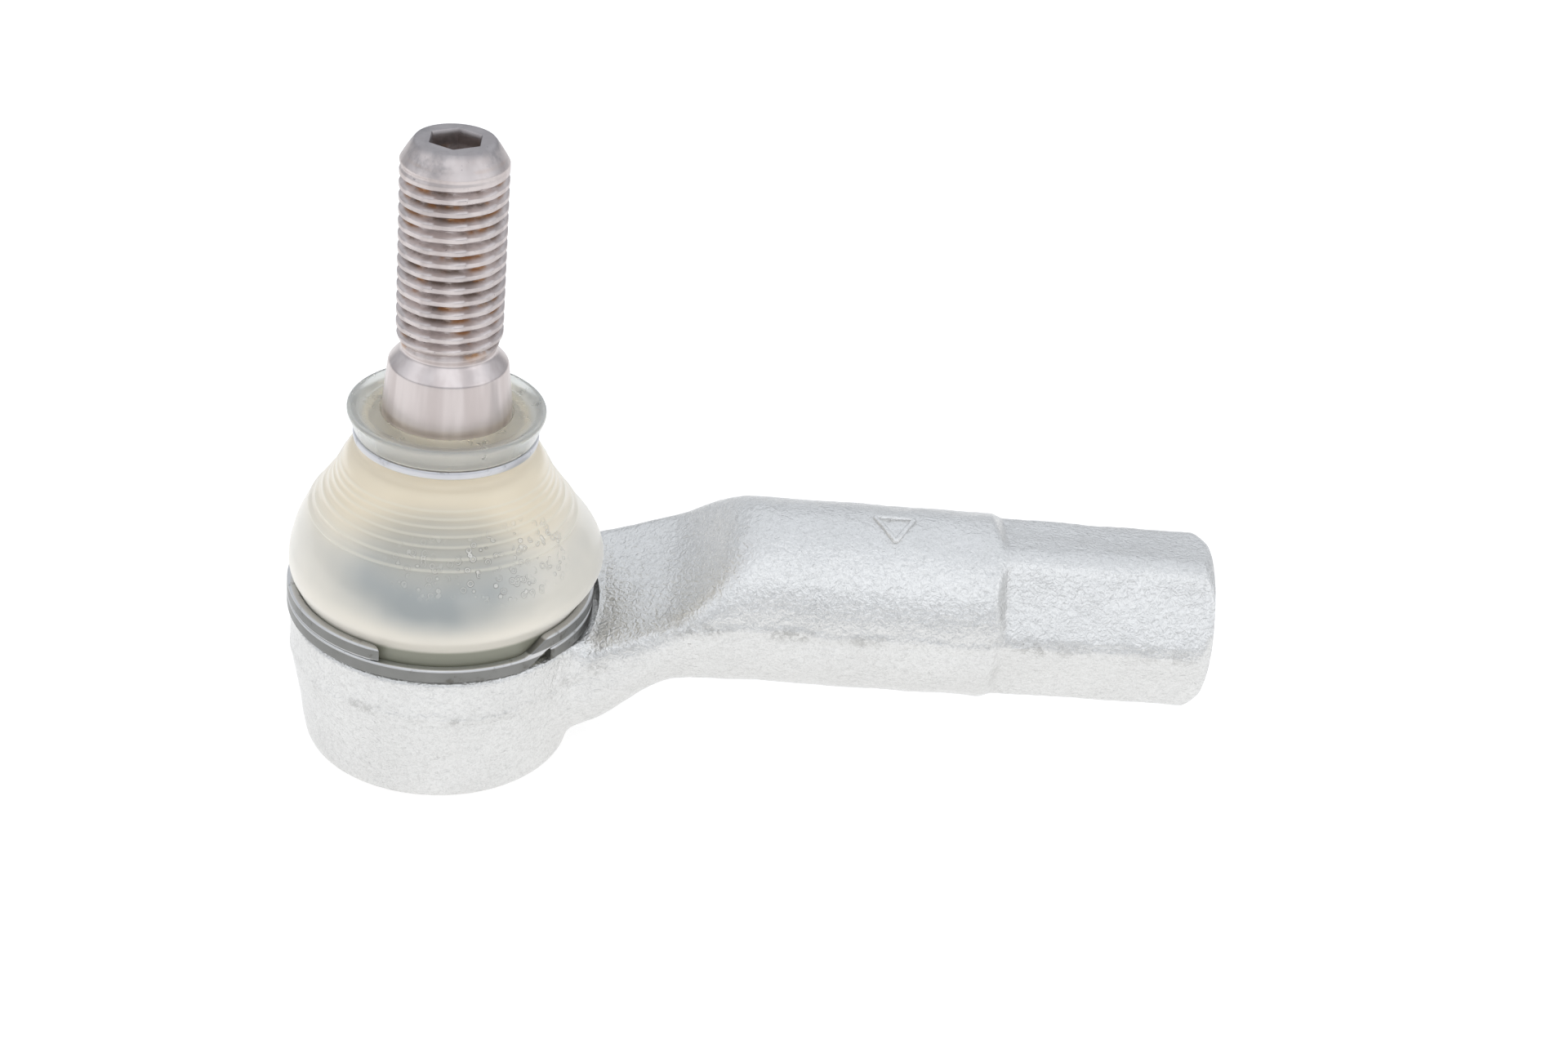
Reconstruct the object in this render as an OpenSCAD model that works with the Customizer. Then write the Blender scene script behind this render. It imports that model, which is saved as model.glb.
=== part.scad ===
// Steering tie rod end: a ball stud that swivels in a forged housing with a
// threaded shank, sealed by a clear boot.
// Origin: centre of the closing plate's underside, on the stud axis.
// +Z runs up the stud, +X runs along the shank to its open end.

/* [Stud] */
// Nominal diameter of the stud thread (M12 x 1.5)
stud_thread_d = 12; // [11.8:0.05:12.2]
// Height of the stud's end above the underside
stud_top_z = 76; // [74:0.5:78]
// Height of the small end of the taper seat
taper_top_z = 49.5; // [49:0.25:50.5]
// Diameter of the taper seat at its small end
taper_small_d = 13.5; // [13.2:0.1:13.6]
// Width across flats of the hex socket in the stud's end
socket_af = 5; // [4:0.5:6]
// Diameter of the neck between the ball and the seat
neck_d = 10.6; // [9.5:0.1:11]

/* [Ball joint] */
// Diameter of the ball
ball_d = 22; // [21.6:0.1:22.2]
// Height of the ball's centre above the underside
ball_z = 14; // [13.9:0.05:14.1]
// Running clearance between the ball and the bearing shell, on the radius
ball_gap = 0.05; // [0.02:0.01:0.09]

/* [Housing] */
// Outer diameter of the housing head
head_d = 35; // [34.6:0.2:36]
// Height of the machined face that the clamp ring lies over
head_top_z = 17.4; // [17.2:0.1:17.5]
// Height of the boss that the boot is clamped on
boss_top_z = 21.2; // [20.8:0.1:21.4]
// Distance from the stud axis to the open end of the shank
shank_end_x = 90.7; // [86:0.1:100]
// Distance from the stud axis to the step between round and hexagon
hex_start_x = 65; // [60:1:70]
// Diameter of the round part of the shank
shank_d = 22; // [21:0.2:22.6]
// Width across flats of the shank's hexagon
hex_af = 19; // [18.5:0.5:20]
// Degrees that the hexagon's upper flat is turned from level, near edge up
hex_turn = 4.5; // [0:0.5:14]
// Height of the shank axis
shank_z = 20.5; // [19:0.1:22]
// Sideways offset of the shank axis from the stud axis
shank_y = 3; // [0:0.5:4]
// Minor diameter of the female thread (M14 x 1.5)
thread_minor_d = 12.38; // [12.2:0.02:12.6]
// Depth of the female thread from the open end
thread_depth = 36; // [30:1:40]

/* [Boot and rings] */
// Diameter that the boot's bulge is drawn to
boot_d = 36.8; // [36:0.2:38]
// Wall thickness of the boot
boot_wall = 1.2; // [1:0.1:1.3]
// Diameter of the collar's rim
collar_d = 22.6; // [22:0.2:23.2]
// Height of the collar's rim
collar_top_z = 43.7; // [43.5:0.1:43.9]
// Thickness of the clamp ring's flat wire, across the ring
wire_w = 1.1; // [0.9:0.1:1.2]
// Height of the clamp ring's flat wire
wire_h = 1.7; // [1.5:0.05:1.75]

/* [Hidden] */
$fn = 96;
eps = 0.01;

ball_r = ball_d / 2;
shell_in_r = ball_r + ball_gap;
shell_out_r = 12.8;
shell_floor_z = 1.6;
shell_step_z = 2.95;
shell_lip_z = ball_z + 5.6;

plate_r = 13.6;
plate_lip_z = 1.2;
plate_flange_top_z = 2.8;
plate_dish_r = 9.4;
plate_thickness = 1.5;
part_gap = 0.05;             // gap between pieces that are pressed together

head_r = head_d / 2;
boss_r = 15.2;
opening_r = 10.4;            // throat that the neck swings in
cavity_r = shell_out_r + part_gap;

seat_land_r = 7.35;          // cylindrical land under the taper
seat_land_z = [37.6, 44.2];  // bottom and top of that land
neck_r = neck_d / 2;
thread_r = stud_thread_d / 2;
thread_z = [52.8, 74.2];     // full thread, bottom and top
run_out_r = 5.3;             // core of the thread run-out
socket_depth = 6;

collar_bore_r = seat_land_r + 0.08;
sleeve_r = 8.6;              // sleeve of the collar, under its flange
flange_z = 40.8;             // underside of the collar's flange
lip_r = 9.9;                 // outside of the boot's upper lip

hem_z = head_top_z + 0.1;
hem_r = boss_r + 1.5;
ring_z = head_top_z + 0.3;
ring_out_r = hem_r + 0.1 + wire_w;
turn_gap = 0.03;             // between the two turns of the wire

hex_point_r = hex_af / sqrt(3);
web_slope = 11.3;            // degrees that the web's top leans to the near side
web_top = [[6, 15.0], [26.3, 21.3], [36.2, 33.4]];  // floor of the web's recess, x and z

// Points of an arc, for profiles: centre, radius, first and last angle
function arc(c, r, a0, a1, n = 12) =
  [for (i = [0 : n]) let (a = a0 + (a1 - a0) * i / n) c + r * [cos(a), sin(a)]];

// ---------------------------------------------------------------- housing
module head_outside() {
  rotate_extrude()
    polygon(concat(
      [[0, 0], [14.3, 0]],
      arc([14.3, 1.2], 1.2, -90, 0, 6),
      [[16.2, 6], [17.1, 10], [head_r, 12.2], [head_r, head_top_z - 0.4],
       [head_r - 0.4, head_top_z], [boss_r, head_top_z], [boss_r, boss_top_z - 0.4],
       [boss_r - 0.4, boss_top_z], [0, boss_top_z]]));
}

module head_inside() {
  rotate_extrude()
    polygon([[0, -eps], [11.6, -eps], [11.6, plate_lip_z - part_gap],
             [plate_r + part_gap, plate_lip_z - part_gap],
             [plate_r + part_gap, plate_flange_top_z + part_gap],
             [cavity_r, plate_flange_top_z + part_gap],
             [cavity_r, 17.6], [opening_r + 0.5, shell_lip_z + 0.1],
             [opening_r, shell_lip_z + 0.3], [11.4, boss_top_z + eps],
             [0, boss_top_z + eps]]);
}

// Blend from the head into the round shank, before its top is cut flat
module web_block() {
  hull() {
    translate([0, 4, 3.8]) cylinder(r = 12, h = 18, $fn = 32);
    translate([33, shank_y, shank_z]) rotate([0, 90, 0])
      cylinder(d = shank_d - 0.6, h = 3, $fn = 32);
  }
}

// Recess in the web's top: a sloping floor that climbs a ramp to the top of the shank
module web_recess() {
  pivot_z = 20;
  translate([0, shank_y, pivot_z]) rotate([90 + web_slope, 0, 0])
    linear_extrude(height = 60, center = true)
      polygon([for (p = concat(web_top, [[web_top[2][0], 60], [web_top[0][0], 60]]))
        [p[0], p[1] - pivot_z]]);
}

module shank_outside() {
  translate([32, shank_y, shank_z]) rotate([0, 90, 0]) {
    cylinder(d = shank_d, h = hex_start_x - 34);
    translate([0, 0, hex_start_x - 34 - eps])
      cylinder(d1 = shank_d, d2 = shank_d - 3, h = 2);
  }
  intersection() {
    translate([hex_start_x - 3, shank_y, shank_z]) rotate([0, 90, 0])
      rotate([0, 0, 30 - hex_turn]) cylinder(r = hex_point_r, h = shank_end_x - hex_start_x + 3, $fn = 6);
    translate([hex_start_x - 3, shank_y, shank_z]) rotate([0, 90, 0]) {
      cylinder(r = hex_point_r - 0.35, h = shank_end_x - hex_start_x + 1.2);
      translate([0, 0, shank_end_x - hex_start_x + 1.2 - eps])
        cylinder(r1 = hex_point_r - 0.35, r2 = hex_point_r - 2, h = 1.8 + eps);
    }
  }
}

module shank_bore() {
  translate([shank_end_x - thread_depth, shank_y, shank_z]) rotate([0, 90, 0]) {
    cylinder(d = thread_minor_d, h = thread_depth + 1);
    translate([0, 0, -3.2]) cylinder(d1 = 1, d2 = thread_minor_d, h = 3.2 + eps);
    translate([0, 0, thread_depth - 1.2]) cylinder(d1 = thread_minor_d, d2 = 15.2, h = 1.4);
  }
}

module housing() {
  color([0.78, 0.80, 0.82]) difference() {
    union() {
      head_outside();
      difference() {
        union() {
          web_block();
          shank_outside();
        }
        web_recess();
        // machined face around the boss
        translate([0, 0, head_top_z]) cylinder(r = 18.6, h = 20);
      }
    }
    head_inside();
    shank_bore();
  }
}

// ---------------------------------------------------------- ball joint
module closing_plate() {
  color([0.62, 0.64, 0.66]) rotate_extrude()
    polygon([[0, 0], [plate_dish_r + 0.8, 0], [plate_dish_r + 1.6, plate_lip_z],
             [plate_r, plate_lip_z], [plate_r, plate_flange_top_z],
             [plate_dish_r + 0.3, plate_flange_top_z],
             [plate_dish_r, plate_thickness], [0, plate_thickness]]);
}

module bearing_shell() {
  color([0.93, 0.92, 0.86]) rotate_extrude() difference() {
    polygon([[0, shell_floor_z], [plate_dish_r - 0.3, shell_floor_z],
             [plate_dish_r - 0.1, shell_step_z], [shell_out_r, shell_step_z],
             [shell_out_r, 17.5], [opening_r + 0.3, shell_lip_z], [0, shell_lip_z]]);
    translate([0, ball_z]) circle(r = shell_in_r);
    translate([-20, 0]) square([20, 40]);
    // throat that lets the neck swing
    translate([0, ball_z + 5]) square([opening_r - 0.9, 2]);
  }
}

module ball_stud() {
  flat_z = ball_z - 10.4;
  flat_r = sqrt(ball_r * ball_r - 10.4 * 10.4);
  neck_start_z = ball_z + sqrt(ball_r * ball_r - neck_r * neck_r);
  start_a = -acos(flat_r / ball_r);
  end_a = acos(neck_r / ball_r);
  color([0.74, 0.71, 0.72]) difference() {
    rotate_extrude()
      polygon(concat(
        [[0, flat_z]],
        arc([0, ball_z], ball_r, start_a, end_a, 40),
        [[neck_r, 34.6], [seat_land_r - 0.3, seat_land_z[0] - 0.3],
         [seat_land_r, seat_land_z[0]], [seat_land_r, seat_land_z[1]],
         [taper_small_d / 2, taper_top_z], [run_out_r, taper_top_z + 1.5],
         [run_out_r, thread_z[0] - 0.7], [thread_r, thread_z[0]],
         [thread_r, thread_z[1]], [4.2, stud_top_z], [0, stud_top_z]]));
    translate([0, 0, stud_top_z - socket_depth]) rotate([0, 0, 30])
      cylinder(r = socket_af / sqrt(3), h = socket_depth + eps, $fn = 6);
    // lead-in of the socket
    translate([0, 0, stud_top_z - 0.5])
      cylinder(d1 = socket_af, d2 = socket_af + 1.1, h = 0.5 + eps);
  }
}

// ------------------------------------------------------- boot and rings
// Outside of the boot from the lower hem to the upper lip; inset moves it inward
function boot_side(inset) =
  let (r = boot_d / 2 - inset)
  [[r - 1.5, 21.5 + inset / 2], [r - 0.4, 23.2], [r - 0.1, 24.6], [r - 0.1, 25.6],
   [r - 0.9, 27.7], [r - 2.4, 30], [r - 3.8, 32], [r - 5.4, 34.2 - inset / 2],
   [r - 6.3, 36 - inset / 2], [r - 7.2, 38 - inset / 2]];

module boot() {
  color([0.90, 0.88, 0.80, 0.55]) rotate_extrude()
    polygon(concat(
      [[boss_r + 0.1, hem_z], [hem_r, hem_z], [hem_r, 21.3]],
      boot_side(0),
      [[lip_r, 38.7], [lip_r, flange_z - 0.05], [sleeve_r + 0.05, flange_z - 0.05],
       [sleeve_r + 0.05, 38.1]],
      [for (i = [9 : -1 : 0]) boot_side(boot_wall)[i]],
      [[boss_r + 0.1, 21.3]]));
}

module boot_collar() {
  color([0.80, 0.84, 0.82, 0.6]) rotate_extrude()
    polygon([[collar_bore_r, flange_z - 1.8], [sleeve_r, flange_z - 1.8],
             [sleeve_r, flange_z], [10.4, flange_z], [collar_d / 2, collar_top_z - 0.4],
             [collar_d / 2 - 0.15, collar_top_z], [collar_d / 2 - 0.6, collar_top_z],
             [9.2, collar_top_z - 0.5], [collar_bore_r, collar_top_z - 0.4]]);
}

module upper_clamp_ring() {
  color([0.86, 0.86, 0.88]) rotate_extrude()
    translate([lip_r + 0.03, flange_z - 1]) square([0.65, 0.95]);
}

// One turn of the flat wire; the gap between its ends is centred on angle mid
module wire_turn(z, mid, gap) {
  translate([0, 0, z]) rotate([0, 0, mid + gap / 2]) rotate_extrude(angle = 360 - gap)
    translate([ring_out_r - wire_w, 0]) square([wire_w, wire_h]);
}

module lower_clamp_ring() {
  color([0.52, 0.53, 0.53]) {
    wire_turn(ring_z, 140, 2);
    wire_turn(ring_z + wire_h + turn_gap, 281, 62);
  }
}

module grease_pack() {
  color([0.80, 0.74, 0.55]) rotate_extrude()
    polygon(concat(
      [[11.9, boss_top_z + 0.3], [boss_r - 0.4, boss_top_z + 0.3]],
      [for (i = [1 : 7]) boot_side(boot_wall + 0.3)[i]],
      [[neck_r + 0.6, 33.6], [neck_r + 0.6, 25.6], [8.6, 22.9]]));
}

housing();
closing_plate();
bearing_shell();
ball_stud();
boot();
boot_collar();
upper_clamp_ring();
lower_clamp_ring();
grease_pack();
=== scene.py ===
import bpy
import numpy as np
from mathutils import Matrix, Vector


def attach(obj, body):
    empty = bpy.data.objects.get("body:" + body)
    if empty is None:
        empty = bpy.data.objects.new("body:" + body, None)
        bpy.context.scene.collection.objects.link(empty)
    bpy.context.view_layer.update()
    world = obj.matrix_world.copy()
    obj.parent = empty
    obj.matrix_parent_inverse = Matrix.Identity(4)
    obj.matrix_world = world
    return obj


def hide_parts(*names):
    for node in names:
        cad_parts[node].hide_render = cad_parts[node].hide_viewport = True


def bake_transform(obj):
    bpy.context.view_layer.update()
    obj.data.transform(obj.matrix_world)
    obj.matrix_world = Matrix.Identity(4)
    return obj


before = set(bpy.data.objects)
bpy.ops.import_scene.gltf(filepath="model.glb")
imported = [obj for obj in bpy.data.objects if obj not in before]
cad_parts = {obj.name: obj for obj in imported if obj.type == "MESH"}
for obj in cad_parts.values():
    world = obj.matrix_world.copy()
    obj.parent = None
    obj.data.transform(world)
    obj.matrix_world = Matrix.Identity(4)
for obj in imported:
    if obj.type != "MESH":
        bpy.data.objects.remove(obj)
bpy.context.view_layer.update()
MM = 0.001
TURN = 2 * np.pi
print("CAD nodes:", sorted(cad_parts))

# %% [markdown]
# ## Tools for surfaces
# Every new piece is a grid of points: one direction of the grid runs round the piece, the
# other one runs along it. Blender's primitives would do for a rough model, but a formula
# keeps each size in one named value and gives an even, closed mesh.
#
# `shell` turns a grid into points and faces. It closes the ends in a point each, or joins
# the last row to the first one. It measures the signed volume and turns the faces round
# if they point inwards.
# %% From a grid to a mesh


def shell(grid, ring=False):
    """Points and outward faces of a closed skin. Columns join up; so do rows if ring is set."""
    rows, columns = grid.shape[:2]
    row = np.arange(rows if ring else rows - 1)[:, None]
    column = np.arange(columns)[None, :]
    next_row = (row + 1) % rows
    next_column = (column + 1) % columns
    corners = [
        row * columns + column,
        row * columns + next_column,
        next_row * columns + next_column,
        next_row * columns + column,
    ]
    quads = np.stack(np.broadcast_arrays(*corners), -1).reshape(-1, 4)
    points = grid.reshape(-1, 3)
    fans = np.zeros((0, 3), int)
    if not ring:
        points = np.vstack([points, grid[0].mean(0), grid[-1].mean(0)])
        here = np.arange(columns)
        there = (here + 1) % columns
        end = (rows - 1) * columns
        pole = np.full(columns, rows * columns)
        first = np.stack([pole, there, here], -1)
        last = np.stack([pole + 1, here + end, there + end], -1)
        fans = np.vstack([first, last])
    triangles = np.vstack([quads[:, :3], quads[:, [0, 2, 3]], fans])
    a, b, c = (points[triangles[:, i]] for i in range(3))
    if (a * np.cross(b, c)).sum() < 0:
        quads, fans = quads[:, ::-1], fans[:, ::-1]
    return points, quads.tolist() + fans.tolist()


def make_piece(name, body, shells, sharp=40):
    """One smooth-shaded object from one or more shells, riding on a body of the frame.

    Edges that turn by more than sharp degrees stay crisp.
    """
    points, faces = [], []
    for some_points, some_faces in shells:
        start = sum(len(p) for p in points)
        points.append(some_points)
        faces += [[start + corner for corner in face] for face in some_faces]
    mesh = bpy.data.meshes.new(name)
    mesh.from_pydata(np.vstack(points) * MM, [], faces)
    mesh.shade_smooth()
    mesh.set_sharp_from_angle(angle=np.radians(sharp))
    piece = bpy.data.objects.new(name, mesh)
    bpy.context.scene.collection.objects.link(piece)
    if body:
        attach(piece, body)
    print(name, len(faces), "faces")
    return piece


# %% [markdown]
# Turned and moulded pieces are profiles spun round the stud axis. Real edges are never
# razor sharp, so a profile's corners are cut off by small curves before it is spun, and
# long straight stretches get points in between.
# %% Profiles


def soft_profile(corners, reach=0.3, step=0.5, closed=True):
    """A line of points along corners, each corner replaced by a small curve.

    The curve is the parabola that touches both sides at reach from the corner, or at under
    half of the side where the side is short.
    """
    corners = np.asarray(corners, float)
    line = []
    count = len(corners)
    for i, corner in enumerate(corners):
        if not closed and i in (0, count - 1):
            line.append(corner[None])
            continue
        before, after = corners[i - 1] - corner, corners[(i + 1) % count] - corner
        lengths = np.linalg.norm(before), np.linalg.norm(after)
        start = corner + before * min(reach / lengths[0], 0.48)
        end = corner + after * min(reach / lengths[1], 0.48)
        t = np.linspace(0, 1, 6)[:, None]
        line.append((1 - t) ** 2 * start + 2 * t * (1 - t) * corner + t**2 * end)
    line = np.vstack(line)
    if closed:
        line = np.vstack([line, line[:1]])
    travel = np.r_[0, np.cumsum(np.linalg.norm(np.diff(line, axis=0), axis=1))]
    extra = [np.arange(a + step, b - step / 2, step) for a, b in zip(travel, travel[1:])]
    places = np.unique(np.concatenate([travel, *extra]))
    if closed:
        places = places[:-1]
    return np.stack([np.interp(places, travel, line[:, k]) for k in range(2)], -1)


def spin(profile, columns=192):
    """Grid of a profile of (radius, height) points turned round the stud axis."""
    angle = np.arange(columns) * TURN / columns
    radius, height = profile[:, 0, None], profile[:, 1, None]
    return np.stack(
        [radius * np.cos(angle), radius * np.sin(angle), height + 0 * angle], -1
    )


def smooth_step(low, high, x):
    """0 below low, 1 above high, and 3t^2 - 2t^3 in between."""
    t = np.clip((x - low) / (high - low), 0, 1)
    return t * t * (3 - 2 * t)


def unevenness(points, size, seed):
    """Gentle random waves of about that size in millimetres, mostly between -1 and 1.

    It is the sum of 24 sine waves that run in random directions.
    """
    rng = np.random.default_rng(seed)
    way = rng.normal(size=(24, 3))
    way /= np.linalg.norm(way, axis=1)[:, None]
    way *= TURN / (size * rng.uniform(0.7, 1.6, (24, 1)))
    return np.sin(points @ way.T + rng.uniform(0, TURN, 24)).sum(-1) / 5


square = soft_profile([(0, 0), (9, 0), (9, 9), (0, 9)])
print("a 9 mm square with soft corners has", len(square), "points")

# %% [markdown]
# ## The housing: its head
# The housing is one steel forging. Its head is turned inside and on top, where the boot
# sits, and left as forged outside. A spun profile gives the turned parts exactly; the
# outside then gets the slight waves that a forging die and shot blasting leave.
# %% The forged head
head_r = 17.5
head_top = 17.4
boss_r = 15.2
boss_top = 21.2
cavity_r = 12.85
parting_low = 12.4
head_corners = [
    (11.6, 0), (14.6, 0), (15.45, 0.35), (15.8, 1.2), (16.05, 3), (16.4, 6), (16.75, 8),
    (17.15, 10), (17.5, 12.2), (head_r, 17), (17.1, head_top), (boss_r, head_top),
    (boss_r, 20.8), (14.8, boss_top), (11.4, boss_top), (10.4, 19.9), (10.9, 19.7),
    (cavity_r, 17.6), (cavity_r, 2.85), (13.65, 2.85), (13.65, 1.15), (11.6, 1.15),
]  # fmt: skip


def head_wall(z):
    """Radius of the head's forged outside at a height."""
    return np.interp(z, [0, 0.8, 3, 6, 8, 10, 12.2], [15.2, 15.7, 16, 16.4, 16.75, 17.15, head_r])


def forged(grid, amount):
    """Moves points along the line from the stud axis by fine and coarse waves."""
    out = grid[..., :2] / np.linalg.norm(grid[..., :2], axis=-1, keepdims=True)
    waves = 0.06 * unevenness(grid, 7, 1) + 0.018 * unevenness(grid, 1.6, 2)
    grid[..., :2] += out * (amount * waves)[..., None]
    return grid


head_grid = spin(soft_profile(head_corners, reach=0.35, step=0.65), 172)
head_z = head_grid[..., 2]
# blank is 1 on the forged outside and fades to 0 at its edges and on the turned faces
outside = np.hypot(head_grid[..., 0], head_grid[..., 1]) - head_wall(head_z)
blank = smooth_step(-0.9, -0.2, outside) * smooth_step(0.2, 1.4, head_z)
blank *= smooth_step(head_top - 0.1, head_top - 1, head_z)
head_grid = forged(head_grid, blank)
# flash is the low ridge that the gap between the two dies leaves
flash_z = parting_low + 0.4 * unevenness(head_grid, 9, 5)
flash = np.exp(-(((head_z - flash_z) / 0.3) ** 2))
head_grid[..., :2] *= 1 + (0.006 * flash * blank)[..., None]
print("head rows and columns:", head_grid.shape[:2])

# %% [markdown]
# ## The housing: web, shank and hexagon
# The arm changes from a flattened web to a round shank and a hexagon, so no single sweep
# fits it. It could be sculpted, or cut with booleans. Here it is a distance formula: how
# far is a point outside the arm? Simple bodies are joined by a soft maximum, whose
# rounding is a named size, as a fillet is on a drawing. The surface is found by walking
# outwards from the centre line until the distance is zero.
# %% Distance to the arm
shank_y, shank_z, shank_r = 3.0, 20.5, 11.0
hex_start, shank_end, hex_af = 65.0, 90.7, 19.0
hex_turn = np.radians(4.5)
web_corner, web_depth = 6.5, 6.1
roof_x, roof_z, roof_rise = 24.0, 20.9, 0.30
roof_lean = np.tan(np.radians(11.3))
ramp_x, ramp_slope, ramp_soft = 28.0, 0.95, 2.5
edge_r, edge_step, chamfer_x, chamfer_slope = 10.75, 1.2, 89.2, 0.9
roof_round, flat_round, step_round, edge_round = 2.6, 1.3, 1.0, 0.5


def soft_max(a, b, k):
    """The larger of a and b, with the change-over rounded where they differ by under k."""
    near = np.clip(k - np.abs(a - b), 0, None) / k
    return np.maximum(a, b) + near * near * k / 4


def bar_distance(x, y, z):
    """Distance outside a bar with rounded edges: a broad web that ends as the round shank."""
    web = 1 - smooth_step(17, 33, x)
    near = shank_y - shank_r
    far = shank_y + shank_r
    low = shank_z - shank_r - web_depth * (1 - smooth_step(15.5, 28.5, x))
    high = shank_z + shank_r
    edge = shank_r + (web_corner - shank_r) * web
    dy = np.abs(y - (far + near) / 2) - (far - near) / 2 + edge
    dz = np.abs(z - (high + low) / 2) - (high - low) / 2 + edge
    out = np.hypot(np.maximum(dy, 0), np.maximum(dz, 0))
    return out + np.minimum(np.maximum(dy, dz), 0) - edge


def arm_distance(x, y, z):
    """Distance outside the arm: the bar, cut by the web's roof and by the hexagon."""
    # roof: a plane that leans to the near side and climbs a ramp to the top of the shank
    t = ramp_slope * (x - ramp_x)
    root = np.sqrt(t * t + ramp_soft**2)
    climb = roof_rise + ramp_slope * (1 + t / root) / 2
    roof = z - roof_z - roof_rise * (x - roof_x) - roof_lean * (y - shank_y) - (t + root) / 2
    roof = roof / np.sqrt(1 + roof_lean**2 + climb**2)
    arm = soft_max(bar_distance(x, y, z), roof, roof_round)
    # hexagon: three pairs of flats, out of reach on the web and the round shank
    before = 10 * (1 - smooth_step(40, 60, x))
    v, w = y - shank_y, z - shank_z
    across = v * np.cos(hex_turn) - w * np.sin(hex_turn)
    level = v * np.sin(hex_turn) + w * np.cos(hex_turn)
    lean = across * np.cos(np.pi / 6)
    flats = soft_max(np.abs(lean + level / 2), np.abs(lean - level / 2), flat_round)
    flats = soft_max(np.abs(level), flats, flat_round) - hex_af / 2
    flats = flats - before - 3 * (1 - smooth_step(hex_start - 1.6, hex_start + 1.4, x))
    arm = soft_max(arm, flats, step_round)
    # the hexagon's edges are turned down, with a chamfer at the open end
    wider = edge_step * (1 - smooth_step(hex_start - 2, hex_start + 1, x))
    cone = np.hypot(v, w) - edge_r - wider - before
    cone = cone + chamfer_slope * np.clip(x - chamfer_x, 0, None)
    return soft_max(arm, cone, edge_round)


over = arm_distance(50.0, shank_y, shank_z + shank_r + 5)
print("5 mm over the shank the distance is", round(float(over), 2))

# %% [markdown]
# The arm's first rows lie on arcs round the stud axis inside the head's wall, so nothing
# shows in the cavity, and the fillet towards the head can be made row by row: the arm
# grows by (sqrt(k) - sqrt(b))^2, where b is the distance from the head, which is a
# parabola that touches both surfaces.
# %% The arm's surface
fillet = 2.4
parting_high = 21.2
arm_columns = 156
arm_angle = np.arange(arm_columns) * TURN / arm_columns


def row_x(station, y):
    """x of a row: an arc round the stud axis near the head, a flat section further out."""
    arc = np.sqrt(np.clip(station**2 - y**2, 0.01, None))
    return arc + (station - arc) * smooth_step(19, 32, station)


def arm_rows(stations):
    """Radius and place of the arm's outside, from 30 halvings along each ray."""
    station = stations[:, None]
    centre_z = 10.5 + (shank_z - 10.5) * smooth_step(18, 40, station)
    low = np.zeros((len(stations), arm_columns))
    high = low + 24
    for _ in range(30):
        r = (low + high) / 2
        y = shank_y + r * np.cos(arm_angle)
        z = centre_z + r * np.sin(arm_angle)
        x = row_x(station, y)
        from_head = np.clip(np.hypot(x, y) - head_wall(z), 0, fillet)
        d = arm_distance(x, y, z) - (np.sqrt(fillet) - np.sqrt(from_head)) ** 2
        # under the boot's seat the rows stay just below the turned face
        d = np.where(station < 18.6, np.maximum(d, z - head_top + 0.06), d)
        # a ray ends where it would leave its arc
        d = np.where(np.abs(y) > 0.998 * station, 1.0, d)
        low, high = np.where(d < 0, r, low), np.where(d < 0, high, r)
    return r, x, y, z


stations = np.concatenate(
    [
        np.arange(13.75, 18.5, 0.3),
        [18.58, 18.66],
        np.arange(19, 63, 0.55),
        np.arange(63, 67.2, 0.22),
        np.arange(67.5, 88.3, 0.6),
        np.linspace(89, shank_end, 10),
    ]
)
arm_r, x, y, z = arm_rows(stations)
arm_grid = np.stack([x, y, z], -1)
# the parting line climbs from the head to the middle of the shank
parting = np.interp(x, [17, 20, 25, 30, 35], [13.5, 16.8, 19.2, 20.7, parting_high])
parting += 0.25 * unevenness(arm_grid, 8, 3)
side = np.abs(np.cos(arm_angle)) ** 2 * smooth_step(90, 88, x)
rough = 0.06 * unevenness(arm_grid, 7, 1) + 0.022 * unevenness(arm_grid, 1.5, 4)
rough += 0.22 * side * np.exp(-(((z - parting) / 0.35) ** 2))
rough *= smooth_step(shank_end, shank_end - 1.5, x)
arm_grid[..., 1] += rough * np.cos(arm_angle)
arm_grid[..., 2] += rough * np.sin(arm_angle)
print("arm rows and columns:", arm_grid.shape[:2])

# %% [markdown]
# The shank's bore has a real M14 x 1.5 thread cut into it. A thread is a groove that moves
# along by one pitch per turn, so its radius is a wave of x / pitch - angle / turn. The grid
# goes on from the outside, over the end face, down the bore and ends in the drill's cone.
# %% The threaded bore
pitch = 1.5
tapped_r, tapped_depth, mouth_r = 6.19, 0.81, 7.6
drilled_x, drill_tip_x = 55.0, 51.8


def thread_wave(along, angle, crest, root=0.06):
    """0 in a right-hand thread's groove and 1 on its crest, with straight flanks between.

    crest and root are the shares of the pitch that are flat.
    """
    phase = (along / pitch - angle / TURN) % 1
    climb = 1 - np.abs(2 * phase - 1)
    return np.clip((climb - root) / (1 - root - crest), 0, 1)


threaded = np.arange(shank_end, drilled_x + 0.3, -pitch / 10)
cone = np.linspace(drilled_x, drill_tip_x + 0.1, 5)
bore_x = np.concatenate([threaded, cone])[:, None]
groove = 1 - thread_wave(bore_x, arm_angle, crest=0.2)
bore_r = tapped_r + tapped_depth * groove * smooth_step(55.5, 58, bore_x)
bore_r = np.maximum(bore_r, mouth_r - (shank_end - bore_x))
cone_r = np.interp(bore_x, [drill_tip_x, drilled_x], [0.4, tapped_r])
bore_r = np.where(bore_x < drilled_x + 0.2, cone_r, bore_r)


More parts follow.
